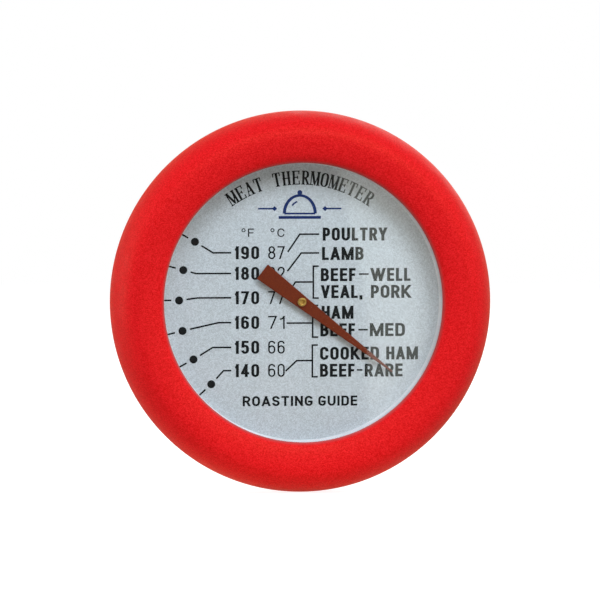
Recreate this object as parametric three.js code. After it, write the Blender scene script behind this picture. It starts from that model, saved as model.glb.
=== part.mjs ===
import * as THREE from 'three';

// Round dial meat thermometer with a bimetal coil in its stem. All lengths are in millimetres.
// The dial and the stem share one axis, Y: the dial looks towards -Y and the stem points towards +Y.
// 12 o'clock is +Z, and the origin is the centre of the glass's outer face.
// Lengths along the axis are called depths and are counted from that face, backwards.

// Driving dimensions
const GUARD_RADIUS = 37; // the silicone ring at its widest
const OPENING_RADIUS = 26.9; // inside the silicone ring's lip
const BACK_DEPTH = 12.1; // flat ring of the case back
const STEM_LENGTH = 120; // from the case back to the point
const STEM_RADIUS = 2.5;
const STEM_WALL = 0.5;
const SHEET = 0.6; // pressed steel of case and bezel
const COIL_TURNS = 28;
const COIL_LENGTH = 42;
const COIL_RADIUS = 1.5; // middle of the strip
const POINTER_REACH = 22.3; // hub to tip
const POINTER_TAIL = 9.7; // hub to square end

// The scale is linear. Angles are clockwise from 12 o'clock, seen from the dial side.
const DEGREES_PER_FAHRENHEIT = 1.446;
const MARK_FAHRENHEIT = 140;
const MARK_ANGLE = 227.4;
const READING_FAHRENHEIT = 71;

// Clearances
const GAP = 0.1; // parts that are pressed or crimped together
const SEAT_GAP = 0.05; // parts that lie on each other
const RUNNING_GAP = 0.1; // shaft in its bushings
const WELD_GAP = 0.15; // between the coil's ends and what holds them

// Facets round the axis
const LARGE = 60;
const SMALL = 24;

// Depths of the stack behind the glass
const GLASS_BACK = 1.5;
const SPACER_FRONT = 2.4;
const DIAL_FRONT = 4.2;
const LEDGE_DEPTH = 4.75;
const TIP_DEPTH = BACK_DEPTH + STEM_LENGTH;

// Radii of the case and what it holds
const CASE_RADIUS = 30;
const CASE_REAR_RADIUS = 28.4;
const STACK_RADIUS = 29.2; // glass, gasket, spacer and dial
const BEZEL_RADIUS = CASE_RADIUS + GAP + SHEET;

const finish = {
  silicone: { color: 0xd71e21, roughness: 0.62, metalness: 0 },
  glass: { color: 0xeef4f6, roughness: 0.04, metalness: 0, transparent: true, opacity: 0.25 },
  steel: { color: 0xc4c6c8, roughness: 0.28, metalness: 1 },
  dial: { color: 0xbecbd4, roughness: 0.42, metalness: 0.7 },
  brass: { color: 0xb98d45, roughness: 0.35, metalness: 1 },
  paint: { color: 0x6e3121, roughness: 0.5, metalness: 0 },
  seal: { color: 0xaa453f, roughness: 0.7, metalness: 0 },
  bimetal: { color: 0xa9a29a, roughness: 0.35, metalness: 1 },
};

const materials = {};
for (const [name, look] of Object.entries(finish)) {
  materials[name] = new THREE.MeshStandardMaterial(look);
}

function part(name, geometry, material) {
  const mesh = new THREE.Mesh(geometry, material);
  mesh.name = name;
  return mesh;
}

// A solid turned about the stem's axis from [radius, depth] points. The outline runs from the front
// outwards and round to the back, and it either starts and ends on the axis or closes on itself.
function turned(outline, facets) {
  const points = outline.map(([radius, depth]) => new THREE.Vector2(radius, depth));
  if (outline[0][0] > 0) points.push(points[0].clone());
  return new THREE.LatheGeometry(points, facets);
}

// Points on an elliptical arc about [radius, depth]. 0 degrees points outwards and 90 degrees backwards.
function arc(radius, depth, across, along, from, to, steps) {
  const points = [];
  for (let i = 0; i <= steps; i++) {
    const angle = THREE.MathUtils.degToRad(from + ((to - from) * i) / steps);
    points.push([radius + across * Math.cos(angle), depth + along * Math.sin(angle)]);
  }
  return points;
}

function sleeve(inner, outer, front, back) {
  return [
    [inner, front],
    [outer, front],
    [outer, back],
    [inner, back],
  ];
}

// Silicone ring: a fat rounded section, with a lip over the bezel and a pocket for bezel and case.
function siliconeGuard() {
  const crestRadius = 31.8;
  const lipDepth = -0.6;
  const lipHeight = 2;
  const lipBack = -0.35;
  const widestDepth = 6.1;
  const backDepth = 13;
  const rearLandRadius = 33.2;
  const pocketDepth = 6.2;
  const pocketRadius = BEZEL_RADIUS + 0.15;
  const rearLip = CASE_REAR_RADIUS + 0.15;
  const rearBevel = 0.7;
  return turned(
    [
      ...arc(crestRadius, lipDepth, crestRadius - OPENING_RADIUS, lipHeight, 180, 270, 5),
      ...arc(
        crestRadius,
        widestDepth,
        GUARD_RADIUS - crestRadius,
        widestDepth - lipDepth + lipHeight,
        270,
        360,
        8,
      ).slice(1),
      ...arc(
        rearLandRadius,
        widestDepth,
        GUARD_RADIUS - rearLandRadius,
        backDepth - widestDepth,
        0,
        90,
        5,
      ).slice(1),
      [rearLip + rearBevel, backDepth],
      [rearLip, backDepth - rearBevel],
      [rearLip, pocketDepth],
      [pocketRadius, pocketDepth],
      [pocketRadius, lipBack],
      [OPENING_RADIUS, lipBack],
    ],
    LARGE,
  );
}

// Steel ring crimped over the rim of the case: it clamps the glass and hooks under the case's ledge.
function bezelRing() {
  const front = -0.2;
  const back = 6;
  const edge = 0.3;
  const inside = BEZEL_RADIUS - SHEET;
  const lip = OPENING_RADIUS + 0.3;
  const lipBack = front + 0.5;
  const hook = CASE_REAR_RADIUS + 0.3;
  const hookFront = LEDGE_DEPTH + SHEET + GAP;
  return turned(
    [
      [lip, front],
      [BEZEL_RADIUS - edge, front],
      [BEZEL_RADIUS, front + edge],
      [BEZEL_RADIUS, back - edge],
      [BEZEL_RADIUS - edge, back],
      [hook, back],
      [hook, hookFront],
      [inside, hookFront],
      [inside, lipBack],
      [lip, lipBack],
    ],
    LARGE,
  );
}

// Flat glass with a stepped rim, so that its face stands level inside the bezel.
function lens() {
  const faceRadius = OPENING_RADIUS - 0.2;
  const stepDepth = 0.4;
  const bevel = 0.2;
  return turned(
    [
      [0, 0],
      [faceRadius, 0],
      [faceRadius + bevel, bevel],
      [faceRadius + bevel, stepDepth],
      [STACK_RADIUS, stepDepth],
      [STACK_RADIUS, GLASS_BACK],
      [0, GLASS_BACK],
    ],
    LARGE,
  );
}

function lensGasket() {
  const inside = 27.7;
  return turned(
    sleeve(inside, STACK_RADIUS, GLASS_BACK + SEAT_GAP, SPACER_FRONT - SEAT_GAP),
    LARGE,
  );
}

// The spacer's inner wall leans in towards the dial.
function spacerRing() {
  const back = DIAL_FRONT - SEAT_GAP;
  const insideFront = 27.25;
  const insideBack = 26.75;
  return turned(
    [
      [insideFront, SPACER_FRONT],
      [STACK_RADIUS, SPACER_FRONT],
      [STACK_RADIUS, back],
      [insideBack, back],
    ],
    LARGE,
  );
}

function dialPlate() {
  const shaftHole = 1.15;
  return turned(sleeve(shaftHole, STACK_RADIUS, DIAL_FRONT, LEDGE_DEPTH - SEAT_GAP), LARGE);
}

// Pressed cup: wide at the front, a ledge under the dial, and a back with a sunk centre.
const FLOOR_DEPTH = BACK_DEPTH - 0.8; // outside of the sunk centre
const FERRULE_HOLE = 4.15;

function caseCup() {
  const rim = 0.45;
  const corner = 1.8;
  const cornerRadius = CASE_REAR_RADIUS - corner;
  const cornerDepth = BACK_DEPTH - corner;
  const stepOuter = 22.5;
  const stepInner = 21;
  const stepShift = 0.3; // keeps the sloped step as thick as the sheet
  return turned(
    [
      [CASE_RADIUS - SHEET, rim],
      [CASE_RADIUS, rim],
      [CASE_RADIUS, LEDGE_DEPTH + SHEET],
      [CASE_REAR_RADIUS, LEDGE_DEPTH + SHEET],
      ...arc(cornerRadius, cornerDepth, corner, corner, 0, 90, 3),
      [stepOuter, BACK_DEPTH],
      [stepInner, FLOOR_DEPTH],
      [FERRULE_HOLE, FLOOR_DEPTH],
      [FERRULE_HOLE, FLOOR_DEPTH - SHEET],
      [stepInner + stepShift, FLOOR_DEPTH - SHEET],
      [stepOuter + stepShift, BACK_DEPTH - SHEET],
      ...arc(cornerRadius, cornerDepth, corner - SHEET, corner - SHEET, 90, 0, 3),
      [CASE_REAR_RADIUS - SHEET, LEDGE_DEPTH],
      [CASE_RADIUS - SHEET, LEDGE_DEPTH],
    ],
    LARGE,
  );
}

// Joint between stem and case: a collar outside, a spigot through the back and a lock ring inside.
const STEM_FRONT = FLOOR_DEPTH - 3.7;
const COLLAR_FRONT = FLOOR_DEPTH + 0.75;
const COLLAR_RADIUS = 6.5;

function stemFerrule() {
  const bore = STEM_RADIUS + GAP;
  const spigot = FERRULE_HOLE - GAP;
  const length = 3.85;
  const bevel = 0.4;
  const back = COLLAR_FRONT + length;
  return turned(
    [
      [bore, STEM_FRONT],
      [spigot, STEM_FRONT],
      [spigot, COLLAR_FRONT],
      [COLLAR_RADIUS - bevel, COLLAR_FRONT],
      [COLLAR_RADIUS, COLLAR_FRONT + bevel],
      [COLLAR_RADIUS, back - bevel],
      [COLLAR_RADIUS - bevel, back],
      [bore, back],
    ],
    SMALL * 2,
  );
}

function ferruleSeal() {
  return turned(
    sleeve(FERRULE_HOLE, COLLAR_RADIUS, FLOOR_DEPTH + SEAT_GAP, COLLAR_FRONT - SEAT_GAP),
    SMALL * 2,
  );
}

function ferruleLockRing() {
  const radius = 7.5;
  const thickness = 1.5;
  const back = FLOOR_DEPTH - SHEET - SEAT_GAP;
  return turned(sleeve(FERRULE_HOLE, radius, back - thickness, back), SMALL * 2);
}

// Stem: a thin tube closed by a pointed plug.
const TUBE_END = TIP_DEPTH - 8;
const PLUG_RADIUS = STEM_RADIUS - STEM_WALL - GAP;
const PLUG_FRONT = TUBE_END - 3.5;

function stemTube() {
  return turned(sleeve(STEM_RADIUS - STEM_WALL, STEM_RADIUS, STEM_FRONT, TUBE_END), SMALL);
}

function stemTip() {
  const shoulder = TUBE_END + SEAT_GAP;
  const coneStart = TUBE_END + 0.6;
  const pointRadius = 0.3;
  const pointLength = 0.25;
  return turned(
    [
      [0, PLUG_FRONT],
      [PLUG_RADIUS, PLUG_FRONT],
      [PLUG_RADIUS, shoulder],
      [STEM_RADIUS, shoulder],
      [STEM_RADIUS, coneStart],
      [pointRadius, TIP_DEPTH - pointLength],
      [0, TIP_DEPTH],
    ],
    SMALL,
  );
}

// Bushings hold the shaft on the axis at both ends.
const SHAFT_RADIUS = 0.42;

function upperBushing() {
  const bore = SHAFT_RADIUS + RUNNING_GAP;
  const flange = STEM_RADIUS - 0.05;
  const front = STEM_FRONT - 0.7;
  const flangeBack = STEM_FRONT - SEAT_GAP;
  const back = STEM_FRONT + 3.4;
  return turned(
    [
      [bore, front],
      [flange, front],
      [flange, flangeBack],
      [PLUG_RADIUS, flangeBack],
      [PLUG_RADIUS, back],
      [bore, back],
    ],
    SMALL,
  );
}

// Bimetal drive, from the stem tip towards the dial.
const ANCHOR_BACK = PLUG_FRONT - GAP;
const ANCHOR_FRONT = ANCHOR_BACK - 3;
const COIL_BACK = ANCHOR_FRONT - WELD_GAP;
const COIL_FRONT = COIL_BACK - COIL_LENGTH;
const COLLAR_BACK = COIL_FRONT - WELD_GAP;
const STUB_RADIUS = 1.1; // reaches into the coil's end turns
const STUB_LENGTH = 2;
const SHAFT_BACK = COLLAR_BACK + 0.9;

function coilAnchor() {
  return turned(
    [
      [0, ANCHOR_FRONT - STUB_LENGTH],
      [STUB_RADIUS, ANCHOR_FRONT - STUB_LENGTH],
      [STUB_RADIUS, ANCHOR_FRONT],
      [PLUG_RADIUS, ANCHOR_FRONT],
      [PLUG_RADIUS, ANCHOR_BACK],
      [0, ANCHOR_BACK],
    ],
    SMALL,
  );
}

// A flat strip wound on edge round the axis: a long bar bent into a helix.
function bimetalCoil() {
  const thickness = 0.3;
  const width = 0.9;
  const stepsPerTurn = 10;
  const travel = COIL_LENGTH - width;
  const strip = new THREE.BoxGeometry(thickness, width, 1, 1, 1, COIL_TURNS * stepsPerTurn);
  const place = strip.getAttribute('position');
  for (let i = 0; i < place.count; i++) {
    const along = place.getZ(i) + 0.5;
    const angle = along * COIL_TURNS * 2 * Math.PI;
    const radius = COIL_RADIUS + place.getX(i);
    const depth = COIL_FRONT + width / 2 + along * travel + place.getY(i);
    place.setXYZ(i, radius * Math.cos(angle), depth, radius * Math.sin(angle));
  }
  return strip;
}

function coilCollar() {
  const flange = 1.8;
  const flangeLength = 2;
  const bore = SHAFT_RADIUS + GAP;
  const boreEnd = SHAFT_BACK + GAP;
  return turned(
    [
      [0, boreEnd],
      [bore, boreEnd],
      [bore, COLLAR_BACK - flangeLength],
      [flange, COLLAR_BACK - flangeLength],
      [flange, COLLAR_BACK],
      [STUB_RADIUS, COLLAR_BACK],
      [STUB_RADIUS, COLLAR_BACK + STUB_LENGTH],
      [0, COLLAR_BACK + STUB_LENGTH],
    ],
    SMALL,
  );
}

function lowerBushing() {
  const length = 3;
  const back = COLLAR_BACK - 3;
  const bore = SHAFT_RADIUS + RUNNING_GAP;
  return turned(sleeve(bore, PLUG_RADIUS, back - length, back), SMALL);
}

// Pointer, hub and shaft. The hub is a rivet: its head and its boss hold the pointer between them, and the
// boss reaches through the dial to take the end of the shaft.
const POINTER_FRONT = 3.05;
const POINTER_THICKNESS = 0.3;
const NECK_RADIUS = 0.6;
const SHAFT_FRONT = 4;

function pointerHub() {
  const head = 0.84;
  const headFront = 2.5;
  const headBack = POINTER_FRONT - SEAT_GAP;
  const edge = 0.12;
  const dimple = 0.46;
  const dimpleDepth = 0.3;
  const boss = 0.85;
  const bossFront = POINTER_FRONT + POINTER_THICKNESS + SEAT_GAP;
  const bossBack = 5.8;
  const bore = SHAFT_RADIUS + GAP;
  const boreEnd = SHAFT_FRONT - SEAT_GAP;
  return turned(
    [
      [0, headFront + dimpleDepth],
      [dimple * 0.7, headFront + dimpleDepth],
      [dimple, headFront],
      [head - edge, headFront],
      [head, headFront + edge],
      [head, headBack],
      [NECK_RADIUS, headBack],
      [NECK_RADIUS, bossFront],
      [boss, bossFront],
      [boss, bossBack],
      [bore, bossBack],
      [bore, boreEnd],
      [0, boreEnd],
    ],
    SMALL,
  );
}

function pointerShaft() {
  return turned(
    [
      [0, SHAFT_FRONT],
      [SHAFT_RADIUS, SHAFT_FRONT],
      [SHAFT_RADIUS, SHAFT_BACK],
      [0, SHAFT_BACK],
    ],
    SMALL,
  );
}

// Flat pointer, one straight taper from its square tail to its tip. It is drawn towards 12 o'clock.
function pointerBlade() {
  const tailHalfWidth = 1.77;
  const tipHalfWidth = 0.12;
  const outline = new THREE.Shape();
  outline.moveTo(-tailHalfWidth, -POINTER_TAIL);
  outline.lineTo(tailHalfWidth, -POINTER_TAIL);
  outline.lineTo(tipHalfWidth, POINTER_REACH);
  outline.lineTo(-tipHalfWidth, POINTER_REACH);
  outline.closePath();
  const hole = new THREE.Path();
  hole.absarc(0, 0, NECK_RADIUS + 0.06, 0, 2 * Math.PI, true);
  outline.holes.push(hole);
  return new THREE.ExtrudeGeometry(outline, {
    depth: POINTER_THICKNESS,
    bevelEnabled: false,
    curveSegments: SMALL / 2,
  });
}

function pointer() {
  const mesh = part('pointer', pointerBlade(), materials.paint);
  mesh.rotation.x = Math.PI / 2;
  mesh.position.y = POINTER_FRONT + POINTER_THICKNESS;
  return mesh;
}

const caseGroup = new THREE.Group();
caseGroup.add(
  part('silicone_guard', siliconeGuard(), materials.silicone),
  part('bezel_ring', bezelRing(), materials.steel),
  part('lens', lens(), materials.glass),
  part('lens_gasket', lensGasket(), materials.seal),
  part('spacer_ring', spacerRing(), materials.steel),
  part('dial_plate', dialPlate(), materials.dial),
  part('case_cup', caseCup(), materials.steel),
);

const stemGroup = new THREE.Group();
stemGroup.add(
  part('stem_ferrule', stemFerrule(), materials.steel),
  part('ferrule_seal', ferruleSeal(), materials.seal),
  part('ferrule_lock_ring', ferruleLockRing(), materials.steel),
  part('stem_tube', stemTube(), materials.steel),
  part('stem_tip', stemTip(), materials.steel),
  part('upper_bushing', upperBushing(), materials.brass),
  part('lower_bushing', lowerBushing(), materials.brass),
  part('coil_anchor', coilAnchor(), materials.steel),
  part('bimetal_coil', bimetalCoil(), materials.bimetal),
);

// Everything here turns as one with the pointer. A positive turn about +Y is clockwise on the dial.
const spindleGroup = new THREE.Group();
spindleGroup.add(
  pointer(),
  part('pointer_hub', pointerHub(), materials.brass),
  part('pointer_shaft', pointerShaft(), materials.steel),
  part('coil_collar', coilCollar(), materials.brass),
);
const readingAngle =
  MARK_ANGLE - (MARK_FAHRENHEIT - READING_FAHRENHEIT) * DEGREES_PER_FAHRENHEIT;
spindleGroup.rotation.y = THREE.MathUtils.degToRad(readingAngle);

const thermometer = new THREE.Group();
thermometer.add(caseGroup, stemGroup, spindleGroup);

export default thermometer;
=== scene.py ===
"""Looks of a dial meat thermometer: smooth skins for the CAD parts, dial printing, finishes, light, camera.

Row frame: the dial faces -Y, 12 o'clock is +Z, and the stem runs along +Y. The origin is the middle of the
glass's outer face. Blender lengths are metres, and MM turns millimetres into metres. Printing on the dial
is laid out in millimetres: x to the right of the dial's centre, z above it.
"""

import math

import bmesh
import bpy
from mathutils import Matrix, Vector
from mathutils.geometry import delaunay_2d_cdt, interpolate_bezier, intersect_point_tri_2d

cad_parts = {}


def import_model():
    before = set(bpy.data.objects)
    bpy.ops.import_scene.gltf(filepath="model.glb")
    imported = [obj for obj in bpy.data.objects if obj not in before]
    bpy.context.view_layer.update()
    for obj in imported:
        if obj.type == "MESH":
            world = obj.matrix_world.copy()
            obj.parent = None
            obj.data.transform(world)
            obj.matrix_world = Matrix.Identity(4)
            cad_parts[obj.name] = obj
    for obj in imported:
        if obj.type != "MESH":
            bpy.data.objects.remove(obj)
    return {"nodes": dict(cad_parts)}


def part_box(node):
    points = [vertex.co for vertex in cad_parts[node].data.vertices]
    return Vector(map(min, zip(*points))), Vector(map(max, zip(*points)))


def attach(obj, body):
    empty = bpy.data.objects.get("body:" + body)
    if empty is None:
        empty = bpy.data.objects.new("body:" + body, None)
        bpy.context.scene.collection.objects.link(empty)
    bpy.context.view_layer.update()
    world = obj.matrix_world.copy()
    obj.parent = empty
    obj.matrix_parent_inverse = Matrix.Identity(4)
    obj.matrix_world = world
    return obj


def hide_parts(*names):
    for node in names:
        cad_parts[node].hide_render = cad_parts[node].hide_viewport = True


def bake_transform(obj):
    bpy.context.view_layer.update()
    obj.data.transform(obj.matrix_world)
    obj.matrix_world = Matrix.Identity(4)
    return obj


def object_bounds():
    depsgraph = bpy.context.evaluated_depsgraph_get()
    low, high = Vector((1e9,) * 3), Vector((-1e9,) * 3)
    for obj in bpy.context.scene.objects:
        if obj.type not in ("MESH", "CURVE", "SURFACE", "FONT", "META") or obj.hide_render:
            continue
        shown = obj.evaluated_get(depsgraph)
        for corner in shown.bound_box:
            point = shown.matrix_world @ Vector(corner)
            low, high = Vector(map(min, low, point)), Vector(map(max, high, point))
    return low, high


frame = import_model()
cad_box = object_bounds()

MM = 0.001
scene = bpy.context.scene


# ---------------------------------------------------------------- turned parts

GRID = 1e-6              # CAD vertices closer than this are one
TURNED_SEGMENTS = 192    # round a skin
GENTLE_BEND = math.radians(30)
LONG_STRETCH = 1.8       # a stretch this much longer than its neighbour is straight: the bend starts after it
ARC_HANDLE = 0.55        # handle length that makes a Bezier curve round
CURVE_POINTS = 5         # along a bend or a rounded corner
CORNER_SHARE = 0.45      # of a stretch that a rounded corner may take up


def reach(spot):
    return math.hypot(spot[0], spot[2])


def section(node):
    """Half the cross-section of a turned CAD node: (radius, depth) points in order, and if they close."""
    mesh = frame["nodes"][node].data
    spots = [tuple(round(c / GRID) for c in v.co) for v in mesh.vertices]
    far = max(spots, key=reach)
    away = (far[0] / reach(far), far[2] / reach(far))
    links = {s: set() for s in spots if s[0] * away[0] + s[2] * away[1] > reach(s) - 1.5}
    for edge in mesh.edges:
        a, b = (spots[i] for i in edge.vertices)
        if a != b and a in links and b in links:
            links[a].add(b)
            links[b].add(a)

    # A flat face has no edge along the half plane, so its rim points are joined in pairs, or to the axis.
    ends = [s for s in links if len(links[s]) < 2 and reach(s) > 1]
    ends.sort(key=lambda s: (s[1], -reach(s)))
    while ends:
        outer = ends.pop(0)
        inner = ends.pop(0) if ends and ends[0][1] - outer[1] < 2 else (0, outer[1], 0)
        links[outer].add(inner)
        links.setdefault(inner, set()).add(outer)

    on_axis = [s for s in links if reach(s) <= 1]
    order = [on_axis[0] if on_axis else far]
    while True:
        onward = [s for s in links[order[-1]] if s not in order]
        if not onward:
            break
        order.append(onward[0])
    return [Vector((reach(s) * GRID, s[1] * GRID)) for s in order], not on_axis


def softened(points, closed, fillet):
    """The outline with its gentle bends drawn as curves and its sharp corners rounded by fillet."""
    count = len(points)

    def stretch(i):
        return points[(i + 1) % count] - points[i % count]

    def heading(i, own):
        """Direction of travel at point i: shared at a gentle bend, each stretch's own at a corner."""
        before, after = stretch(i - 1), stretch(i)
        if not closed and i in (0, count - 1) or before.angle(after) > GENTLE_BEND:
            return own.normalized()
        if before.length > LONG_STRETCH * after.length:
            return before.normalized()
        if after.length > LONG_STRETCH * before.length:
            return after.normalized()
        return (before.normalized() + after.normalized()).normalized()

    drawn, corners = [], set()
    for i in range(count if closed else count - 1):
        start, own = points[i], stretch(i)
        end = points[(i + 1) % count]
        if (closed or i) and stretch(i - 1).angle(own) > GENTLE_BEND:
            corners.add(len(drawn))
        drawn.append(start)
        first, last = heading(i, own), heading((i + 1) % count, own)
        if own.angle(first) + own.angle(last) > 0.001:
            third = own.length / 3
            bend = interpolate_bezier(start, start + first * third, end - last * third, end, CURVE_POINTS)
            drawn += bend[1:-1]
    if not closed:
        drawn.append(points[-1])

    result = []
    for i, spot in enumerate(drawn):
        if i not in corners:
            result.append(spot)
            continue
        back, on = drawn[i - 1] - spot, drawn[(i + 1) % len(drawn)] - spot
        start = spot + back.normalized() * min(fillet, back.length * CORNER_SHARE)
        end = spot + on.normalized() * min(fillet, on.length * CORNER_SHARE)
        result += interpolate_bezier(
            start, start.lerp(spot, ARC_HANDLE), end.lerp(spot, ARC_HANDLE), end, CURVE_POINTS
        )
    return result


def new_piece(name, bm, smooth=True):
    bmesh.ops.recalc_face_normals(bm, faces=bm.faces)
    mesh = bpy.data.meshes.new(name)
    bm.to_mesh(mesh)
    bm.free()
    for polygon in mesh.polygons:
        polygon.use_smooth = smooth
    piece = bpy.data.objects.new(name, mesh)
    scene.collection.objects.link(piece)
    return piece


def revolved(name, outline, closed):
    """The outline swept once round the stem's axis."""
    bm = bmesh.new()
    rings = []
    for radius, depth in outline:
        steps = 1 if radius < GRID else TURNED_SEGMENTS
        turns = [math.tau * k / steps for k in range(steps)]
        rings.append([bm.verts.new((radius * math.cos(a), depth, radius * math.sin(a))) for a in turns])
    pairs = list(zip(rings, rings[1:] + rings[:1]))
    for ring, following in pairs if closed else pairs[:-1]:
        for k in range(TURNED_SEGMENTS):
            corners = []
            for vertex in (ring[k % len(ring)], ring[(k + 1) % len(ring)],
                           following[(k + 1) % len(following)], following[k % len(following)]):
                if vertex not in corners:
                    corners.append(vertex)
            bm.faces.new(corners)
    piece = new_piece(name, bm)
    piece.modifiers.new("flat_faces_stay_flat", "WEIGHTED_NORMAL")
    return piece


def skin(node, name, fillet, material, body="case"):
    """A smooth turned piece on the CAD node's own outline, standing for that node."""
    outline, closed = section(node)
    piece = revolved(name, softened(outline, closed, fillet), closed)
    piece.data.materials.append(material)
    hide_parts(node)
    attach(piece, body)


# ---------------------------------------------------------------- finishes


class Finish:
    """A procedural material: a Principled shader and the nodes that drive it. Sizes are in millimetres."""

    def __init__(self, name, **inputs):
        self.material = bpy.data.materials.new(name)
        self.material.use_nodes = True
        self.tree = self.material.node_tree
        self.shader = self.tree.nodes["Principled BSDF"]
        self.where = self.tree.nodes.new("ShaderNodeTexCoord").outputs["Object"]
        self.normal = None
        for name, value in inputs.items():
            self.put(name.replace("_", " "), value)

    def node(self, kind, **inputs):
        made = self.tree.nodes.new("ShaderNode" + kind)
        for name, value in inputs.items():
            self.join(made.inputs[name.replace("_", " ")], value)
        return made

    def join(self, socket, value):
        if isinstance(value, bpy.types.NodeSocket):
            self.tree.links.new(value, socket)
        else:
            socket.default_value = value

    def put(self, name, value):
        self.join(self.shader.inputs[name], value)

    def grain(self, size, detail=2.0, stretch=(1, 1, 1)):
        """Even noise with lumps of about this size."""
        place = self.node("Mapping", Vector=self.where, Scale=stretch).outputs[0]
        return self.node("TexNoise", Vector=place, Scale=1 / (size * MM), Detail=detail).outputs["Fac"]

    def flecks(self, size):
        """Cells of about this size, each with its own value from 0 to 1."""
        cells = self.node("TexVoronoi", Vector=self.where, Scale=1 / (size * MM))
        return self.node("SeparateColor", Color=cells.outputs["Color"]).outputs[0]

    def from_axis(self):
        """Distance from the stem's axis, in metres."""
        flat = self.node("Mapping", Vector=self.where, Scale=(1, 0, 1)).outputs[0]
        length = self.node("VectorMath")
        length.operation = "LENGTH"
        self.join(length.inputs[0], flat)
        return length.outputs["Value"]

    def rings(self, size):
        """Noise that changes only with distance from the stem's axis, like the marks of a lathe tool."""
        noise = self.node("TexNoise", Scale=1 / (size * MM), Detail=3.0)
        noise.noise_dimensions = "1D"
        self.join(noise.inputs["W"], self.from_axis())
        return noise.outputs["Fac"]

    def between(self, factor, low, high, start=0.3, end=0.7):
        """Low where the factor is at start, high where it is at end. Works for numbers and for colours."""
        if isinstance(low, tuple):
            ramp = self.node("ValToRGB", Fac=factor)
            for element, spot, colour in zip(ramp.color_ramp.elements, (start, end), (low, high)):
                element.position = spot
                element.color = (*colour, 1)
            return ramp.outputs["Color"]
        spread = self.node("MapRange", Value=factor)
        for name, value in (("From Min", start), ("From Max", end), ("To Min", low), ("To Max", high)):
            spread.inputs[name].default_value = value
        return spread.outputs["Result"]

    def bump(self, height, depth):
        """Adds relief of this depth on top of any relief that is already there."""
        made = self.node("Bump", Height=height, Distance=depth * MM, Strength=1.0)
        if self.normal is not None:
            self.join(made.inputs["Normal"], self.normal)
        self.normal = made.outputs["Normal"]
        self.put("Normal", self.normal)


LIP_HIGHLIGHT_RADII = (26.95, 27.5)    # radii between which a painted highlight on the lip's inner edge fades into the silicone's full colour
SPUN_STRETCH = 0.6          # how far spun steel stretches its highlights
ACROSS_MARKS = 0.25         # of a turn, from along the tool marks to across them


def silicone_finish():
    look = Finish("red_silicone", Specular_IOR_Level=0.11, Subsurface_Weight=0.06)
    look.put("Specular Tint", (1.0, 0.75, 0.30, 1))
    look.put("Subsurface Radius", (1.0, 0.15, 0.1))
    look.put("Subsurface Scale", 1.2 * MM)
    look.put("Sheen Weight", 0.15)
    look.put("Sheen Roughness", 0.35)
    look.put("Sheen Tint", (1.0, 0.55, 0.18, 1))
    speckle = look.flecks(0.16)
    moulded = look.between(speckle, (0.62, 0.001, 0.004), (0.84, 0.014, 0.020), 0, 1)
    # painted highlight: the lip's inner edge is tinted a paler, duller red, standing in for light caught on
    # that edge
    lip_highlight = look.between(look.from_axis(), 1.0, 0.0, *(r * MM for r in LIP_HIGHLIGHT_RADII))
    lip_with_highlight = look.node("MixRGB", Fac=lip_highlight, Color1=moulded, Color2=(0.50, 0.05, 0.05, 1))
    look.put("Base Color", lip_with_highlight.outputs[0])
    look.put("Roughness", look.between(look.grain(2.5), 0.46, 0.58))
    look.bump(look.grain(6.0), 0.05)
    look.bump(speckle, 0.012)
    return look.material


def dial_finish():
    look = Finish("satin_dial", Metallic=0.25, Specular_IOR_Level=0.3)
    fine = look.flecks(0.2)
    look.put("Base Color", look.between(fine, (0.56, 0.575, 0.595), (0.75, 0.775, 0.81), 0, 1))
    look.put("Roughness", look.between(look.grain(0.8), 0.52, 0.60))
    look.bump(fine, 0.006)
    return look.material


def steel_finish(
    name, marks, rough=(0.24, 0.36), tone=(0.60, 0.61, 0.62), relief=0.004, metallic=1.0, spun=False
):
    """Stainless steel. marks(look) gives the tool or draw marks that roughen it."""
    look = Finish(name, Metallic=metallic)
    if spun:
        round_the_axis = look.node("Tangent")
        round_the_axis.direction_type, round_the_axis.axis = "RADIAL", "Y"
        look.put("Tangent", round_the_axis.outputs[0])
        look.put("Anisotropic", SPUN_STRETCH)
        look.put("Anisotropic Rotation", ACROSS_MARKS)
    lines = marks(look)
    cloudy = look.grain(5.0, detail=3)
    darker = tuple(0.86 * c for c in tone)
    look.put("Base Color", look.between(cloudy, darker, tone))
    look.put("Roughness", look.between(lines, *rough))
    look.bump(lines, relief)
    return look.material


def brass_finish():
    look = Finish("turned_brass", Metallic=1.0)
    pits = look.grain(0.22, detail=3)
    look.put("Base Color", look.between(pits, (0.38, 0.19, 0.035), (0.80, 0.52, 0.15)))
    look.put("Roughness", look.between(pits, 0.42, 0.26))
    look.bump(pits, 0.05)
    return look.material


def paint_finish(name, dark, light, rough=(0.4, 0.5), size=0.3, relief=0.006):
    look = Finish(name, Specular_IOR_Level=0.2)
    grain = look.grain(size, detail=3)
    look.put("Base Color", look.between(grain, dark, light))
    look.put("Roughness", look.between(look.grain(1.6), *rough))
    look.bump(grain, relief)
    return look.material


def bimetal_finish():
    look = Finish("bimetal_strip", Metallic=1.0)
    heat_tint = look.grain(7.0)
    look.put("Base Color", look.between(heat_tint, (0.52, 0.46, 0.38), (0.66, 0.60, 0.50)))
    rolled = look.grain(0.15, stretch=(1, 0.2, 1))
    look.put("Roughness", look.between(rolled, 0.28, 0.42))
    look.bump(rolled, 0.004)
    return look.material


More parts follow.
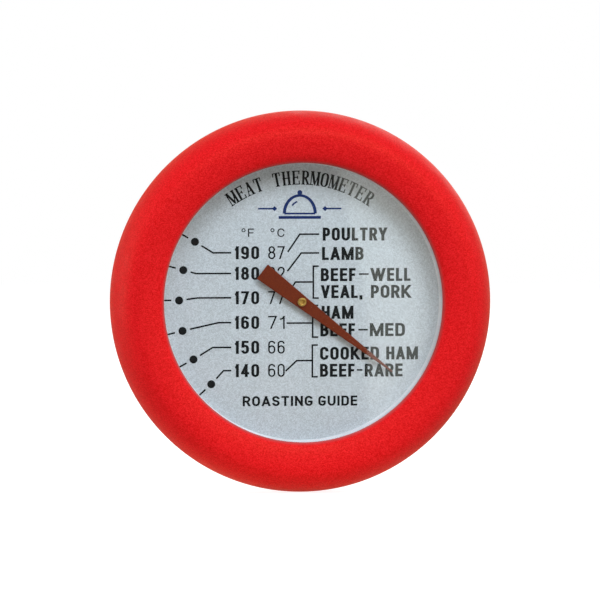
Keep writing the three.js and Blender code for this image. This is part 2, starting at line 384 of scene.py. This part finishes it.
def glass_finish():
    """Flat clear glass: light goes straight through, and each face mirrors a little of what is in front."""
    look = Finish("flat_glass")
    smear = look.grain(9.0)
    look.bump(look.grain(14.0), 0.004)
    clear = look.node("BsdfTransparent", Color=look.between(smear, (0.975, 0.985, 0.98), (0.99, 0.995, 0.99)))
    mirror = look.node("BsdfGlossy", Roughness=look.between(smear, 0.02, 0.05), Normal=look.normal)
    share = look.node("Math")                       # both faces' share, taken where the light goes in
    share.operation = "MULTIPLY"
    share.use_clamp = True
    back_face = look.node("NewGeometry").outputs["Backfacing"]
    going_in = look.node("MapRange", Value=back_face, To_Min=2.0, To_Max=0.0)
    look.join(share.inputs[0], look.node("Fresnel", IOR=1.5).outputs[0])
    look.join(share.inputs[1], going_in.outputs["Result"])
    mixed = look.node("MixShader", Fac=share.outputs[0])
    look.join(mixed.inputs[1], clear.outputs[0])
    look.join(mixed.inputs[2], mirror.outputs[0])
    look.tree.nodes.remove(look.shader)
    output = look.tree.nodes["Material Output"]
    look.join(output.inputs["Surface"], mixed.outputs[0])
    return look.material


SILICONE = silicone_finish()
DIAL = dial_finish()
SPUN_STEEL = steel_finish("spun_steel", lambda look: look.rings(0.35), spun=True)
BRIGHT_WALL = steel_finish(
    "bright_wall", lambda look: look.grain(0.3), (0.45, 0.55), (0.97, 0.93, 0.94), metallic=0.2
)
SATIN_STEEL = steel_finish("satin_steel", lambda look: look.grain(0.3), (0.30, 0.42), (0.74, 0.75, 0.76))
DRAWN_STEEL = steel_finish("drawn_steel", lambda look: look.grain(0.25, stretch=(1, 0.03, 1)), relief=0.0015)
BRASS = brass_finish()
POINTER_PAINT = paint_finish("brown_enamel", (0.162, 0.019, 0.003), (0.215, 0.030, 0.006), (0.38, 0.48))
INK = paint_finish("black_ink", (0.002, 0.002, 0.003), (0.006, 0.006, 0.007), (0.5, 0.65), 0.25)
BLUE_INK = paint_finish("blue_ink", (0.008, 0.022, 0.115), (0.014, 0.036, 0.165), (0.45, 0.6), 0.25)
RUBBER = paint_finish("seal_rubber", (0.35, 0.05, 0.04), (0.45, 0.07, 0.06), (0.55, 0.7), 0.4, 0.02)
BIMETAL = bimetal_finish()
GLASS = glass_finish()


# ---------------------------------------------------------------- lettering

# A glyph is a list of strokes in a box that runs from 0 to 1 both ways, measured between the middles of its
# outer strokes. A stroke is a list of (x, y) or (x, y, roundness) points, where roundness 1 is half the
# box's width. A stroke that ends on y 0 or 1 runs on to that edge and is cut off level there.


def stem(x=0.0, low=0, high=1):
    return [(x, low), (x, high)]


def bar(y, left=0.0, right=1.0):
    return [(left, y), (right, y)]


def bowl(low, high, right=1.0, curve=1.0):
    return [(0, high), (right, high, curve), (right, low, curve), (0, low)]


def loop(low=0.0, high=1.0, inset=0.0, curve=1.0):
    left, right = inset, 1 - inset
    start = (0.5, low)
    corners = [(right, low), (right, high), (left, high), (left, low)]
    return [start, *((x, y, curve) for x, y in corners), start]


def flipped(strokes):
    return [[(1 - p[0], 1 - p[1], *p[2:]) for p in stroke] for stroke in strokes]


NINE = [loop(0.40, 1), [(1, 0.66), (1, 0, 1), (0, 0, 1), (0, 0.2)]]
GLYPHS = {
    "A": [[(0, 0), (0.5, 1)], [(0.5, 1), (1, 0)], bar(0.24, 0.2, 0.8)],
    "B": [stem(), bowl(0.53, 1, 0.93), bowl(0, 0.53)],
    "C": [[(1, 0.68), (1, 1, 1), (0, 1, 1), (0, 0, 1), (1, 0, 1), (1, 0.32)]],
    "D": [stem(), bowl(0, 1, curve=0.9)],
    "E": [stem(), bar(1), bar(0.52, 0, 0.92), bar(0)],
    "F": [stem(), bar(1), bar(0.49, 0, 0.86)],
    "G": [[(1, 0.76), (1, 1, 1), (0, 1, 1), (0, 0, 1), (1, 0, 0.8), (1, 0.42), (0.56, 0.42)]],
    "H": [stem(), stem(1), bar(0.51)],
    "I": [stem(0.5)],
    "K": [stem(), [(0, 0.30), (0.96, 1)], [(0.30, 0.56), (1, 0)]],
    "L": [stem(), bar(0)],
    "M": [stem(), stem(1), [(0.04, 1), (0.5, 0)], [(0.5, 0), (0.96, 1)]],
    "N": [stem(), stem(1), [(0.03, 1), (0.97, 0)]],
    "O": [loop()],
    "P": [stem(), bowl(0.42, 1)],
    "R": [stem(), bowl(0.46, 1), [(0.60, 0.44), (0.98, 0)]],
    "S": [[(1, 0.74), (1, 1, 1), (0, 1, 1), (0, 0.56, 0.8), (1, 0.45, 0.8), (1, 0, 1), (0, 0, 1), (0, 0.27)]],
    "T": [stem(0.5), bar(1)],
    "U": [[(0, 1), (0, 0, 1), (1, 0, 1), (1, 1)]],
    "V": [[(0, 1), (0.5, 0)], [(0.5, 0), (1, 1)]],
    "W": [[(0, 1), (0.27, 0)], [(0.27, 0), (0.5, 1)], [(0.5, 1), (0.73, 0)], [(0.73, 0), (1, 1)]],
    "Y": [[(0, 1), (0.5, 0.42)], [(0.5, 0.42), (1, 1)], stem(0.5, 0, 0.45)],
    "0": [loop()],
    "1": [stem(1), [(0, 0.78), (0.6, 0.80, 0.6), (1, 1)]],
    "2": [[(0, 0.72), (0, 1, 1), (1, 1, 1), (1, 0.60, 0.6), (0, 0.04), (0, 0)], bar(0)],
    "4": [stem(0.74), [(0.74, 1), (-0.06, 0.25)], bar(0.25, -0.04, 1.04)],
    "5": [bar(1, 0.12, 0.92), [(0.10, 1), (0.03, 0.47)],
          [(0.03, 0.50), (0.2, 0.63, 0.5), (1, 0.63, 1), (1, 0, 1), (0, 0, 1), (0, 0.22)]],
    "6": flipped(NINE),
    "7": [bar(1), [(1, 1), (0.30, 0)]],
    "8": [loop(0.53, 1, 0.05), loop(0, 0.53)],
    "9": NINE,
    ",": [[(0.75, 0.16), (0.1, -0.26)]],
    "o": [loop()],
}
WIDTHS = {                      # share of the height, for the glyphs that aren't as wide as the usual one
    "E": 0.57, "F": 0.50, "L": 0.52, "T": 0.63, "A": 0.71, "V": 0.67, "W": 1.20, "M": 0.93, "K": 0.70,
    "B": 0.63, "P": 0.60, "R": 0.63, "U": 0.69, "S": 0.62, "I": 0.20, ",": 0.24, "1": 0.44,
}
USUAL_WIDTH = 0.66
SAME_SPOT = 1e-4                # millimetres
STROKE_CURVE_POINTS = 8
MITRE_LIMIT = 0.4               # keeps the corner of a sharp bend from running out to a spike
LEVEL = 0.01                    # rise per length under which a stroke counts as level and ends square
RUN_ON = 1.2                    # pen widths that a stroke goes past the edge where it is cut off


def smooth_path(points):
    """The path in millimetres, with each rounded corner drawn as a curve."""
    drawn = []
    for i, (x, z, radius) in enumerate(points):
        corner = Vector((x, z))
        if radius == 0:
            drawn.append(corner)
            continue
        sides = []
        for neighbour in (points[i - 1], points[i + 1]):
            way = Vector(neighbour[:2]) - corner
            room = way.length / 2 if neighbour[2] else way.length
            sides.append(corner + way.normalized() * min(radius, room))
        start, end = sides
        drawn += interpolate_bezier(
            start, start.lerp(corner, ARC_HANDLE), end.lerp(corner, ARC_HANDLE), end, STROKE_CURVE_POINTS
        )
    return [p for i, p in enumerate(drawn) if i == 0 or (p - drawn[i - 1]).length > SAME_SPOT]


def cut_level(polygon, low, high):
    """The part of a convex polygon between two levels."""
    for edge, sign in ((low, 1), (high, -1)):
        kept = []
        for a, b in zip(polygon, polygon[1:] + polygon[:1]):
            inside_a, inside_b = sign * (a.y - edge) >= 0, sign * (b.y - edge) >= 0
            if inside_a:
                kept.append(a)
            if inside_a != inside_b:
                kept.append(a.lerp(b, (edge - a.y) / (b.y - a.y)))
        polygon = kept
    return polygon


def inked(path, pen):
    """Four-sided patches that cover a path drawn with a pen this wide and this high."""
    squared = [Vector((p.x / pen[0], p.y / pen[1])) for p in path]    # here the pen is a circle 1 across
    closed = (path[0] - path[-1]).length < SAME_SPOT
    ways = [(b - a).normalized() for a, b in zip(squared, squared[1:])]
    sides = []
    for i in range(len(squared)):
        before = ways[i - 1] if i or closed else ways[0]
        after = ways[i] if i < len(ways) else (ways[0] if closed else ways[-1])
        mitre = (before + after) / max(1 + before.dot(after), MITRE_LIMIT)
        sides.append(Vector((-mitre.y * pen[0], mitre.x * pen[1])) / 2)
    return [
        [path[i] + sides[i], path[i + 1] + sides[i + 1], path[i + 1] - sides[i + 1], path[i] - sides[i]]
        for i in range(len(ways))
    ]


def glyph(strokes, left, base, width, height, pen):
    """The patches of one glyph whose ink fills this box."""
    across, up = width - pen[0], height - pen[1]
    patches = []
    for stroke in strokes:
        points = [
            (left + pen[0] / 2 + p[0] * across, base + pen[1] / 2 + p[1] * up,
             p[2] * across / 2 if len(p) > 2 else 0)
            for p in stroke
        ]
        path = smooth_path(points)
        levels = (base - height, base + height)
        if stroke[0] != stroke[-1]:
            for end, beside, y in ((0, 1, stroke[0][1]), (-1, -2, stroke[-1][1])):
                way = (path[end] - path[beside]).normalized()
                if abs(way.y) < LEVEL:
                    path[end] = path[end] + way * pen[0] / 2
                elif y in (0, 1):
                    path[end] = path[end] + way * pen[0] * RUN_ON
                    levels = (base, base + height)
        patches += [cut_level(patch, *levels) for patch in inked(path, pen)]
    return [patch for patch in patches if len(patch) > 2]


def word(text, left, middle, width, height, pen, gap):
    """A line of glyphs, widened or narrowed to fill the width. One list of patches for each."""
    natural = [WIDTHS.get(letter, USUAL_WIDTH) * height for letter in text]
    fit = (width - gap * (len(text) - 1)) / sum(natural)
    shapes = []
    for letter, wide in zip(text, natural):
        shapes.append(glyph(GLYPHS[letter], left, middle - height / 2, wide * fit, height, pen))
        left += wide * fit + gap
    return shapes


def line(points, wide):
    """A printed line through (x, z) points, with mitred corners."""
    return inked([Vector(p) for p in points], (wide, wide))


def disc(x, z, radius, sides=32):
    turns = [math.tau * k / sides for k in range(sides)]
    return [Vector((x + radius * math.cos(a), z + radius * math.sin(a))) for a in turns]


PRINT_OFFSET = Vector((-0.22, 0.03))    # the print sits a little off the middle of the dial
INK_THICKNESS = 0.02 * MM
INK_ROOT = 0.005 * MM       # how far the ink reaches into the dial, so that no gap shows
dial_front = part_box("dial_plate")[0].y


def covered(spot, patch):
    """Whether a spot is inside a convex patch."""
    return any(intersect_point_tri_2d(spot, patch[0], b, c) for b, c in zip(patch[1:], patch[2:]))


def union(patches):
    """Corners and triangles for everything that a list of overlapping patches covers."""
    corners, outlines = [], []
    for patch in patches:
        outlines.append(list(range(len(corners), len(corners) + len(patch))))
        corners += patch
    spots, _, triangles, *_ = delaunay_2d_cdt(corners, [], outlines, 0, SAME_SPOT)
    inside = []
    for triangle in triangles:
        middle = sum((spots[i] for i in triangle), Vector((0, 0))) / 3
        if any(covered(middle, patch) for patch in patches):
            inside.append(triangle)
    return spots, inside


def printed(name, shapes, material=INK):
    """Ink on the dial: a thin closed slab for each shape, which is a list of patches."""
    bm = bmesh.new()
    for patches in shapes:
        spots, triangles = union(patches)
        places = [(p + PRINT_OFFSET) * MM for p in spots]
        verts = [bm.verts.new((p.x, dial_front + INK_ROOT, p.y)) for p in places]
        for triangle in triangles:
            bm.faces.new([verts[i] for i in triangle])
    loose = [v for v in bm.verts if not v.link_faces]
    bmesh.ops.delete(bm, geom=loose, context="VERTS")
    bmesh.ops.dissolve_limit(bm, angle_limit=0.001, verts=bm.verts, edges=bm.edges)
    raised = bmesh.ops.extrude_face_region(bm, geom=bm.faces[:])["geom"]
    upper = [v for v in raised if isinstance(v, bmesh.types.BMVert)]
    bmesh.ops.translate(bm, vec=(0, -INK_THICKNESS - INK_ROOT, 0), verts=upper)
    piece = new_piece(name, bm, smooth=False)
    piece.data.materials.append(material)
    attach(piece, "case")


# ---------------------------------------------------------------- what the dial says

DOT_RADIUS, DOT_CIRCLE = 0.78, 23.5
TICK_START, TICK_END = 25.0, 27.0
LINE = 0.32
DEGREES_PER_FAHRENHEIT = 1.446
MARK_140 = 227.4            # clock angle of the 140 F dot
ROWS = {190: (87, 9.5, -16.9), 180: (82, 5.5, -20.2), 170: (77, 0.8, -19.9),
        160: (71, -4.0, -15.85), 150: (66, -8.8, -17.0), 140: (60, -13.3, -14.9)}
LEAD_START, LEAD_END = 1.45, -13.4      # from the dot's middle, and the x where the leads stop
NUMERAL_HEIGHT, WORD_HEIGHT = 2.52, 2.52
UNIT_HEIGHT, UNIT_ROW = 1.65, 13.35
DEGREE_SIZE, DEGREE_ROW, DEGREE_PEN = 0.78, 13.45, (0.18, 0.18)
WORD_GAP = 0.34
# Pens, as (width, height) of their mark
BOLD, SMALL_BOLD, REGULAR, LIGHT = (0.58, 0.47), (0.44, 0.37), (0.31, 0.28), (0.24, 0.22)
NUMERAL_BOLD = (0.56, 0.42)


def on_dial(clock, radius):
    turn = math.radians(clock)
    return Vector((radius * math.sin(turn), radius * math.cos(turn)))


def scale_marks():
    """The dots round the left edge, their ticks, and the lines that lead to the Fahrenheit numbers."""
    patches = []
    for fahrenheit, (_, row, elbow) in ROWS.items():
        clock = MARK_140 + (fahrenheit - 140) * DEGREES_PER_FAHRENHEIT
        dot = on_dial(clock, DOT_CIRCLE)
        patches.append(disc(*dot, DOT_RADIUS))
        patches += line([on_dial(clock, TICK_START), on_dial(clock, TICK_END)], LINE)
        bend = Vector((elbow, row))
        start = dot + (bend - dot).normalized() * LEAD_START
        patches += line([start, bend, (LEAD_END, row)], LINE)
    return [patches]


def numerals():
    shapes = []
    for unit, left, width in (("F", -10.15, 1.2), ("C", -4.46, 1.4)):
        shapes += word(unit, left, UNIT_ROW, width, UNIT_HEIGHT, LIGHT, 0)
    for left in (-11.4, -5.8):
        shapes.append(glyph(GLYPHS["o"], left, DEGREE_ROW, DEGREE_SIZE, DEGREE_SIZE, DEGREE_PEN))
    for fahrenheit, (celsius, row, _) in ROWS.items():
        shapes += word(str(fahrenheit), -12.95, row, 4.95, NUMERAL_HEIGHT, NUMERAL_BOLD, 0.46)
        shapes += word(str(celsius), -6.25, row, 3.22, NUMERAL_HEIGHT, REGULAR, 0.42)
    return shapes


def leaders():
    """Lines and brackets from the Celsius numbers to the meats."""
    patches = []
    for path in (
        [(-2.43, 9.62), (-0.10, 13.05), (3.68, 13.05)],
        [(-2.51, 5.88), (0.19, 9.42), (3.66, 9.42)],
        [(-2.14, 2.06), (-0.93, 3.80), (2.55, 3.80)],
        [(-2.67, -4.15), (2.39, -4.15)],
        [(-2.88, -13.47), (-0.70, -11.43), (2.36, -11.43)],
        [(3.58, 6.85), (2.53, 6.85), (2.53, 0.68), (3.58, 0.68)],
        [(3.50, -0.74), (2.40, -0.74), (2.40, -6.89), (3.50, -6.89)],
        [(3.41, -8.43), (2.34, -8.43), (2.34, -14.58), (3.41, -14.58)],
    ):
        patches += line(path, LINE)
    return [patches]


def meats():
    shapes = []
    for text, left, middle, width in (
        ("POULTRY", 4.35, 13.05, 12.5), ("LAMB", 4.22, 9.30, 8.1),
        ("BEEF", 3.99, 5.20, 6.75), ("WELL", 13.67, 5.20, 7.8),
        ("VEAL,", 4.05, 1.91, 8.05), ("PORK", 13.75, 1.91, 7.75),
        ("HAM", 4.15, -2.10, 6.2), ("BEEF", 3.90, -5.50, 6.75), ("MED", 13.55, -5.50, 6.85),
        ("COOKED", 3.83, -10.05, 11.5), ("HAM", 16.75, -10.05, 6.2),
        ("BEEF", 3.83, -13.35, 6.75), ("RARE", 12.55, -13.35, 7.4),
    ):
        shapes += word(text, left, middle, width, WORD_HEIGHT, BOLD, WORD_GAP)
    for text, left, width in (("ROASTING", -11.2, 13.6), ("GUIDE", 3.5, 7.6)):
        shapes += word(text, left, -19.25, width, 1.95, SMALL_BOLD, WORD_GAP)
    for left, right, middle in ((11.44, 13.30, 5.3), (11.30, 13.15, -5.5), (11.0, 12.1, -13.3)):
        shapes.append(line([(left, middle), (right, middle)], LINE))
    return shapes


SERIF_HEIGHT, SERIF_WIDTH = 2.7, 1.5
SERIF_PEN, HAIRLINE = (0.44, 0.19), (0.20, 0.19)
# Strokes of a book face: thick ones, thin ones, and the (x, y) where the feet and caps of its stems stand.
SERIF_GLYPHS = {
    "M": ([stem(1), [(0.02, 1), (0.5, 0.06)]], [stem(), [(0.5, 0), (0.98, 1)]],
          [(0, 0), (1, 0), (0, 1), (1, 1)]),
    "E": ([stem(0.1)], [bar(1), bar(0), bar(0.52, 0.1, 0.7), stem(0.96, 0.76, 1), stem(0.96, 0, 0.26),
                        stem(0.72, 0.40, 0.64)], [(0.1, 0), (0.1, 1)]),
    "A": ([[(0.48, 1), (0.92, 0)]], [[(0.08, 0), (0.48, 1)], bar(0.32, 0.2, 0.75)], [(0.08, 0), (0.92, 0)]),
    "T": ([stem(0.5)], [bar(1), stem(0, 0.74, 1), stem(1, 0.74, 1)], [(0.5, 0)]),
    "H": ([stem(0.05), stem(0.95)], [bar(0.5)], [(0.05, 0), (0.95, 0), (0.05, 1), (0.95, 1)]),
    "R": ([stem(0.1), [(0.45, 0.5), (0.98, 0)]], [], [(0.1, 0), (0.1, 1), (0.98, 0)]),
    "O": ([loop(curve=1.2)], [], []),
}
SERIF_BOWLS = {"R": [(0.1, 1), (0.9, 1, 0.9), (0.9, 0.5, 0.9), (0.1, 0.5)]}
TITLE = "MEAT THERMOMETER"
TITLE_RADIUS, TITLE_START, TITLE_PITCH = 24.0, -33.3, 4.47


def title():
    """The name of the instrument, set round the top of the dial."""
    shapes = []
    for i, letter in enumerate(TITLE):
        if letter == " ":
            continue
        thick, thin, feet = SERIF_GLYPHS[letter]
        wide = SERIF_WIDTH * (1.12 if letter == "M" else 1)
        box = (-wide / 2, -SERIF_HEIGHT / 2, wide, SERIF_HEIGHT)
        patches = glyph(thick, *box, SERIF_PEN) + glyph(thin, *box, HAIRLINE)
        if letter in SERIF_BOWLS:
            patches += glyph([SERIF_BOWLS[letter]], *box, SERIF_PEN)
        for x, y in feet:
            foot = Vector((-wide / 2 + SERIF_PEN[0] / 2 + x * (wide - SERIF_PEN[0]),
                           (y - 0.5) * (SERIF_HEIGHT - HAIRLINE[1])))
            patches += line([foot - Vector((0.36, 0)), foot + Vector((0.36, 0))], HAIRLINE[1])
        clock = math.radians(TITLE_START + i * TITLE_PITCH)
        to_clock = Matrix.Rotation(-clock, 2)
        lifted = Vector((0, TITLE_RADIUS))
        shapes.append([[to_clock @ (p + lifted) for p in patch] for patch in patches])
    return shapes


def ornament():
    """A plain food cover over a plate, with a rule on each side."""
    middle, plate, wide, high = -0.1, 16.5, 3.0, 3.5
    rim, knob = plate + 0.55, 0.48
    gleam_size, gleam_base = 0.62, plate + 0.75
    rule, lozenge = plate + 1.5, 0.5
    turns = [math.pi * k / 24 for k in range(25)]
    dome = [Vector((middle + wide * math.cos(a), rim + high * math.sin(a))) for a in turns]
    patches = inked(dome, (0.62, 0.5))
    patches += line([(middle - wide, rim), (middle + wide, rim)], 0.34)
    patches += line([(middle - 4.1, plate - 0.2), (middle + 4.1, plate - 0.2)], 0.55)
    patches.append(disc(middle, rim + high + 0.55, knob))
    gleam = [Vector((middle + gleam_size * wide * math.cos(a), gleam_base + gleam_size * high * math.sin(a)))
             for a in turns[14:20]]
    patches += inked(gleam, (0.34, 0.28))
    for side in (-1, 1):
        near, far = middle + side * 4.9, middle + side * 8.1
        patches += line([(near, rule), (far, rule)], 0.32)
        patches.append([Vector((near + side * x, rule + z)) for x, z in
                        ((-lozenge, 0), (0, lozenge), (lozenge, 0), (0, -lozenge))])
    return [patches]


# ---------------------------------------------------------------- pieces

skin("silicone_guard", "guard_skin", 0.14 * MM, SILICONE)
skin("lens", "lens_pane", 0.12 * MM, GLASS)
skin("spacer_ring", "spacer_wall", 0.05 * MM, BRIGHT_WALL)
skin("dial_plate", "dial_disc", 0.03 * MM, DIAL)
skin("case_cup", "case_shell", 0.35 * MM, SPUN_STEEL)
skin("stem_ferrule", "ferrule_body", 0.15 * MM, SPUN_STEEL)
skin("ferrule_seal", "ferrule_washer", 0.08 * MM, RUBBER)
skin("stem_tube", "stem_sleeve", 0.05 * MM, DRAWN_STEEL)
skin("stem_tip", "stem_point", 0.10 * MM, DRAWN_STEEL)
skin("pointer_hub", "hub_rivet", 0.04 * MM, BRASS, "spindle")

CARRIED_OVER = {
    "bezel_ring": SATIN_STEEL,
    "lens_gasket": RUBBER,
    "ferrule_lock_ring": SPUN_STEEL,
    "upper_bushing": BRASS,
    "lower_bushing": BRASS,
    "coil_anchor": DRAWN_STEEL,
    "pointer": POINTER_PAINT,
    "pointer_shaft": DRAWN_STEEL,
    "coil_collar": BRASS,
}
BROKEN_EDGE, POINTER_EDGE = 0.04 * MM, 0.12 * MM
for node_name, finish in CARRIED_OVER.items():
    node = frame["nodes"][node_name]
    for material_slot in node.material_slots:
        material_slot.material = finish
    node.modifiers.new("joined_edges", "WELD").merge_threshold = GRID
    edge = node.modifiers.new("broken_edges", "BEVEL")
    edge.width, edge.segments = BROKEN_EDGE, 2
    edge.limit_method, edge.angle_limit = "ANGLE", GENTLE_BEND
frame["nodes"]["pointer"].modifiers["broken_edges"].width = POINTER_EDGE


COIL_TURNS = 28
STEPS_PER_TURN = 48


def coil_strip():
    """The wound strip with a fine pitch, in the space of its CAD node."""
    low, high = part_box("bimetal_coil")
    thick, strip, edge = 0.3 * MM, 0.9 * MM, 0.06 * MM
    pitch = (high.y - low.y) / COIL_TURNS
    outer = high.x
    inner = outer - thick
    outline = [
        (inner + edge, -strip / 2), (outer - edge, -strip / 2),
        (outer, edge - strip / 2), (outer, strip / 2 - edge),
        (outer - edge, strip / 2), (inner + edge, strip / 2),
        (inner, strip / 2 - edge), (inner, edge - strip / 2),
    ]
    travel = high.y - low.y - strip
    bm = bmesh.new()
    rings = []
    steps = round(travel / pitch * STEPS_PER_TURN)
    for k in range(steps + 1):
        angle = math.tau * k / STEPS_PER_TURN
        depth = low.y + strip / 2 + travel * k / steps
        across, up = math.cos(angle), math.sin(angle)
        rings.append([bm.verts.new((r * across, depth + y, r * up)) for r, y in outline])
    for ring, following in zip(rings, rings[1:]):
        for i in range(len(outline)):
            j = (i + 1) % len(outline)
            bm.faces.new((ring[i], ring[j], following[j], following[i]))
    bm.faces.new(rings[0])
    bm.faces.new(rings[-1])
    piece = new_piece("coil_strip", bm)
    piece.data.materials.append(BIMETAL)
    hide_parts("bimetal_coil")
    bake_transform(piece)


coil_strip()
printed("print_scale", scale_marks())
printed("print_numerals", numerals())
printed("print_leaders", leaders())
printed("print_meats", meats())
printed("print_title", title())
printed("print_ornament", ornament(), BLUE_INK)


# ---------------------------------------------------------------- floor, light and camera

FLOOR_SIZE = 6.0
FLOOR_FADE = (0.35, 1.0)    # metres from the object where the lit floor turns into plain white
FLOOR_GLOW = 0.9            # what the camera sees on top of the floor's own light
UNDER_GLOW = 0.4            # lights the object from right below
UNDER_REACH = (0.042, 0.060)    # metres from the glass's middle where that light starts and stops to fade


def floor():
    bm = bmesh.new()
    bmesh.ops.create_circle(bm, cap_ends=True, radius=FLOOR_SIZE, segments=64)
    bmesh.ops.translate(bm, vec=(0, 0, cad_box[0].z), verts=bm.verts)
    piece = new_piece("floor", bm, smooth=False)
    look = Finish("pale_floor", Roughness=0.7, Specular_IOR_Level=0.2)
    look.put("Base Color", look.between(look.grain(40.0), (0.42, 0.39, 0.35), (0.46, 0.43, 0.39)))
    far = look.node("VectorMath")
    far.operation = "LENGTH"
    look.join(far.inputs[0], look.where)
    seen = look.node("LightPath").outputs["Is Camera Ray"]
    glow = look.node("Mix", Factor=seen)
    look.join(glow.inputs["A"], look.between(far.outputs["Value"], UNDER_GLOW, 0.0, *UNDER_REACH))
    look.join(glow.inputs["B"], FLOOR_GLOW)
    look.put("Emission Strength", glow.outputs["Result"])
    look.put("Emission Color", look.between(seen, (1.0, 0.82, 0.58), (1.0, 1.0, 1.0), 0, 1))
    white = look.node("Emission", Color=(1, 1, 1, 1), Strength=seen)
    fade = look.node("MixShader", Fac=look.between(far.outputs["Value"], 0.0, 1.0, *FLOOR_FADE))
    look.join(fade.inputs[1], look.shader.outputs[0])
    look.join(fade.inputs[2], white.outputs[0])
    look.join(look.tree.nodes["Material Output"].inputs["Surface"], fade.outputs[0])
    piece.data.materials.append(look.material)
    piece.visible_glossy = False


def softbox(name, towards, distance, size, power, colour=(1, 1, 1)):
    """A lamp this wide and high that faces the origin from the direction given."""
    data = bpy.data.lights.new(name, "AREA")
    data.shape = "RECTANGLE"
    data.size, data.size_y = size
    data.energy, data.color = power, colour
    lamp = bpy.data.objects.new(name, data)
    scene.collection.objects.link(lamp)
    way = Vector(towards).normalized()
    lamp.location = way * distance
    lamp.rotation_mode = "QUATERNION"
    lamp.rotation_quaternion = way.to_track_quat("Z", "Y")
    lamp.visible_camera = False


def reflected_card():
    """A bright card to the right of the camera. Only shiny surfaces see it, the glass above all."""
    depth, edge, bend, far, right = -0.6, 0.0802, -0.03, 0.35, 0.6
    lean = math.tan(math.radians(12)) * (far - bend)
    outline = [(edge - lean, far), (edge, bend), (edge, -far), (right, -far), (right, far)]
    bm = bmesh.new()
    bm.faces.new([bm.verts.new((x, depth, z)) for x, z in outline])
    piece = new_piece("reflected_card", bm, smooth=False)
    look = Finish("card_glow")
    glow = look.node("Emission", Color=(0.94, 1, 0.92, 1), Strength=1.35)
    look.join(look.tree.nodes["Material Output"].inputs["Surface"], glow.outputs[0])
    piece.data.materials.append(look.material)
    piece.visible_camera = piece.visible_diffuse = piece.visible_shadow = False


# Strength of the surrounding light. It dims between two angles from straight in front of the glass.
AMBIENT = ((85, 0.30), (50, 0.01))      # as matt surfaces receive it
MIRRORED = ((48, 0.45), (20, 0.03))     # as shiny surfaces mirror it


def world():
    """White behind the object, and a dim surround, darkest where the glass mirrors it to the camera."""
    made = bpy.data.worlds.new("studio")
    made.use_nodes = True
    scene.world = made
    tree = made.node_tree
    link = tree.links.new
    surround = tree.nodes["Background"]
    surround.inputs["Color"].default_value = (1.0, 0.94, 0.86, 1)
    backdrop = tree.nodes.new("ShaderNodeBackground")
    backdrop.inputs["Color"].default_value = (1, 1, 1, 1)
    facing = tree.nodes.new("ShaderNodeVectorMath")
    facing.operation = "DOT_PRODUCT"
    facing.inputs[1].default_value = (0, -1, 0)
    link(tree.nodes.new("ShaderNodeTexCoord").outputs["Generated"], facing.inputs[0])
    ray = tree.nodes.new("ShaderNodeLightPath")
    strength = tree.nodes.new("ShaderNodeMix")
    link(ray.outputs["Is Glossy Ray"], strength.inputs["Factor"])
    for socket, (outer, inner) in (("A", AMBIENT), ("B", MIRRORED)):
        spread = tree.nodes.new("ShaderNodeMapRange")
        for side, (angle, level) in (("Min", outer), ("Max", inner)):
            spread.inputs["From " + side].default_value = math.cos(math.radians(angle))
            spread.inputs["To " + side].default_value = level
        link(facing.outputs["Value"], spread.inputs["Value"])
        link(spread.outputs["Result"], strength.inputs[socket])
    link(strength.outputs["Result"], surround.inputs["Strength"])
    mix = tree.nodes.new("ShaderNodeMixShader")
    link(ray.outputs["Is Camera Ray"], mix.inputs[0])
    link(surround.outputs[0], mix.inputs[1])
    link(backdrop.outputs[0], mix.inputs[2])
    link(mix.outputs[0], tree.nodes["World Output"].inputs["Surface"])


CAMERA_LEFT, CAMERA_ABOVE = math.radians(5.4), math.radians(2.6)
CAMERA_DISTANCE = 0.75
SENSOR = 36.0
VIEW_WIDTH = 0.1164         # what the picture spans at the guard's widest section


def camera():
    data = bpy.data.cameras.new("camera")
    data.sensor_width = SENSOR
    data.lens = SENSOR * CAMERA_DISTANCE / VIEW_WIDTH
    data.clip_start, data.clip_end = 0.05, 30
    eye = bpy.data.objects.new("camera", data)
    scene.collection.objects.link(eye)
    back = Vector((-math.sin(CAMERA_LEFT) * math.cos(CAMERA_ABOVE),
                   -math.cos(CAMERA_LEFT) * math.cos(CAMERA_ABOVE), math.sin(CAMERA_ABOVE)))
    target = Vector((-0.1, 6.1, 0.26)) * MM
    eye.location = target + back * CAMERA_DISTANCE
    eye.rotation_mode = "QUATERNION"
    eye.rotation_quaternion = back.to_track_quat("Z", "Y")
    scene.camera = eye


floor()
softbox("key", (0.0, -1.0, 1.05), 0.9, (0.6, 0.42), 4.9, (0.72, 0.86, 1.0))
softbox("right_key", (0.65, -1.0, 0.9), 0.9, (0.4, 0.5), 4.2, (0.86, 0.92, 1.0))
softbox("left_key", (-0.85, -1.0, 0.5), 0.9, (0.6, 0.6), 1.0, (0.96, 0.96, 0.98))
softbox("left_fill", (-1.0, 0.1, 0.0), 1.1, (0.7, 0.7), 10.0)
softbox("right_fill", (1.0, -0.1, 0.3), 1.1, (0.7, 0.7), 2.2)
softbox("low_fill", (0.0, -1.0, -0.7), 0.9, (1.2, 0.5), 0.45, (1.0, 0.72, 0.45))
softbox("rear_fill", (0.4, 1.0, 0.5), 1.2, (0.8, 0.8), 3.6)
reflected_card()
world()
camera()
scene.view_settings.view_transform = "Standard"
